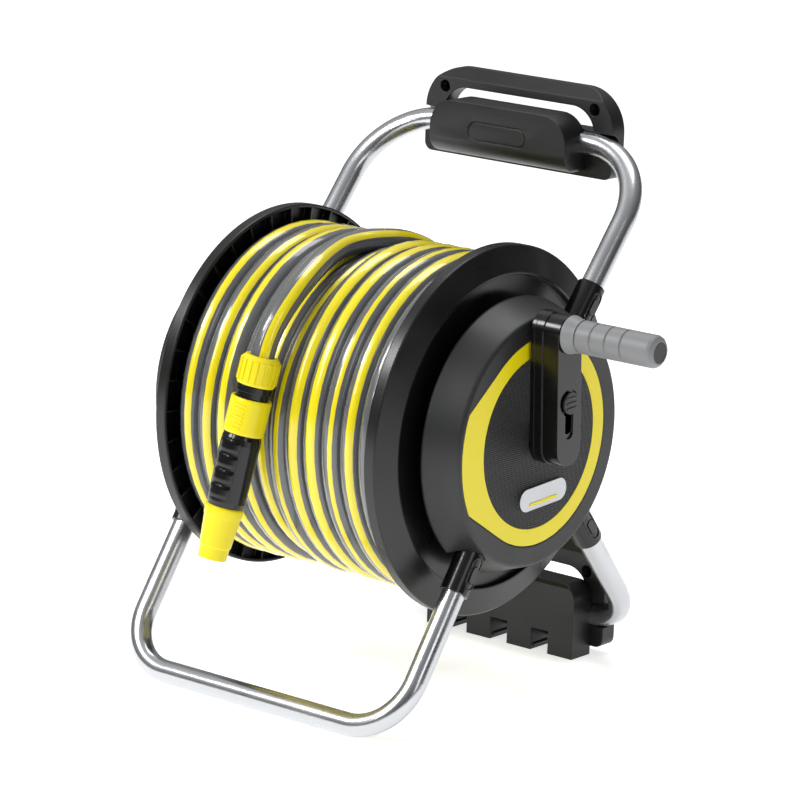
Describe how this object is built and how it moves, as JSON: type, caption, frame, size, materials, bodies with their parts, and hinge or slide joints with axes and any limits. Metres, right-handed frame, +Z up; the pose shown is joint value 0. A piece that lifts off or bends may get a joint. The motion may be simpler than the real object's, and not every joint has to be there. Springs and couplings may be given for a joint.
{
  "type": "garden hose reel",
  "caption": "Free-standing and wall-mountable garden hose reel on a bent tube frame, with a hand crank, a wound striped hose and a spray nozzle.",
  "frame": {"origin": "on the floor, under the middle of the box around the frame, brackets, crank and inlet (without the hose and nozzle)", "axes": "+Z up, +X along the drum axle towards the crank, +Y towards the wall that the two brackets screw to"},
  "size_m": [0.4886, 0.3926, 0.5071],
  "materials": {
    "tube_aluminium": "satin anodised",
    "black_plastic": "smooth, lightly glossy",
    "bracket_plastic": "fine matt grain",
    "cover_plastic": "fine matt grain",
    "disc_plastic": "small knurled pattern",
    "yellow_plastic": "smooth, semi-gloss",
    "badge_metal": "satin silver",
    "grip_plastic": "soft matt",
    "cap_plastic": "matt",
    "bush_plastic": "natural acetal",
    "fastener_steel": "zinc plated",
    "seal_rubber": "smooth rubber",
    "hose_pvc": "glossy vinyl, grey with yellow stripes"
  },
  "bodies": {
    "frame": {"top_tube": "tube_aluminium", "front_foot_tube": "tube_aluminium", "rear_foot_tube": "tube_aluminium", "right_carrier": "black_plastic", "left_carrier": "black_plastic", "inlet_body": "black_plastic", "tube_snap_buttons": "black_plastic", "right_cover": "cover_plastic", "left_cover": "cover_plastic", "right_face_disc": "disc_plastic", "left_face_disc": "disc_plastic", "coloured_ring": "yellow_plastic", "badge_bar": "yellow_plastic", "badge_plate": "badge_metal", "right_bush": "bush_plastic", "left_bush": "bush_plastic", "right_cover_screws": "fastener_steel", "left_cover_screws": "fastener_steel", "top_bracket_screws": "fastener_steel", "rear_bracket_screws": "fastener_steel", "top_bracket_loop": "bracket_plastic", "top_bracket_cover": "bracket_plastic", "rear_bracket_loop": "bracket_plastic", "accessory_holder": "bracket_plastic", "elbow_seal": "seal_rubber"},
    "drum": {"drum_core": "black_plastic", "left_flange": "black_plastic", "right_flange": "black_plastic", "drum_screws": "fastener_steel", "crank_shaft": "black_plastic", "water_shaft": "black_plastic", "shaft_seals": "seal_rubber", "hose_tail": "black_plastic", "tail_clamp": "fastener_steel", "crank_arm": "black_plastic", "crank_back": "black_plastic", "crank_bolt": "fastener_steel", "grip_pin": "fastener_steel", "hose_coil": "hose_pvc", "hose_end": "hose_pvc", "hose_nut": "yellow_plastic", "connector_body": "black_plastic", "nozzle_body": "black_plastic", "nozzle_valve": "yellow_plastic"},
    "grip": {"grip": "grip_plastic", "grip_cap": "cap_plastic"},
    "latch": {"latch_slider": "cap_plastic"},
    "inlet": {"inlet_elbow": "black_plastic", "inlet_nipple": "yellow_plastic"},
    "sleeve": {"connector_sleeve": "yellow_plastic"},
    "spray_tip": {"nozzle_tip": "yellow_plastic"}
  },
  "joints": [
    {"name": "drum_spin", "type": "hinge", "parent": "frame", "child": "drum", "pos_m": [-0.0473, -0.01068, 0.238], "axis": [1, 0, 0], "continuous": true},
    {"name": "grip_spin", "type": "hinge", "parent": "drum", "child": "grip", "pos_m": [0.1977, -0.01581, 0.33587], "axis": [1, 0, 0], "continuous": true},
    {"name": "latch_slide", "type": "slide", "parent": "drum", "child": "latch", "axis": [0, 0.0523, -0.9986], "range_m": [0, 0.022]},
    {"name": "inlet_swivel", "type": "hinge", "parent": "frame", "child": "inlet", "pos_m": [-0.2313, -0.01068, 0.238], "axis": [1, 0, 0], "continuous": true},
    {"name": "sleeve_slide", "type": "slide", "parent": "drum", "child": "sleeve", "axis": [0.1162, 0.1908, 0.9747], "range_m": [0, 0.004], "stiffness_N_per_m": 800, "springref_m": -0.001},
    {"name": "tip_twist", "type": "hinge", "parent": "drum", "child": "spray_tip", "pos_m": [-0.0531, -0.16658, 0.3054], "axis": [-0.1162, -0.1908, -0.9747], "range_deg": [0, 180]}
  ]
}
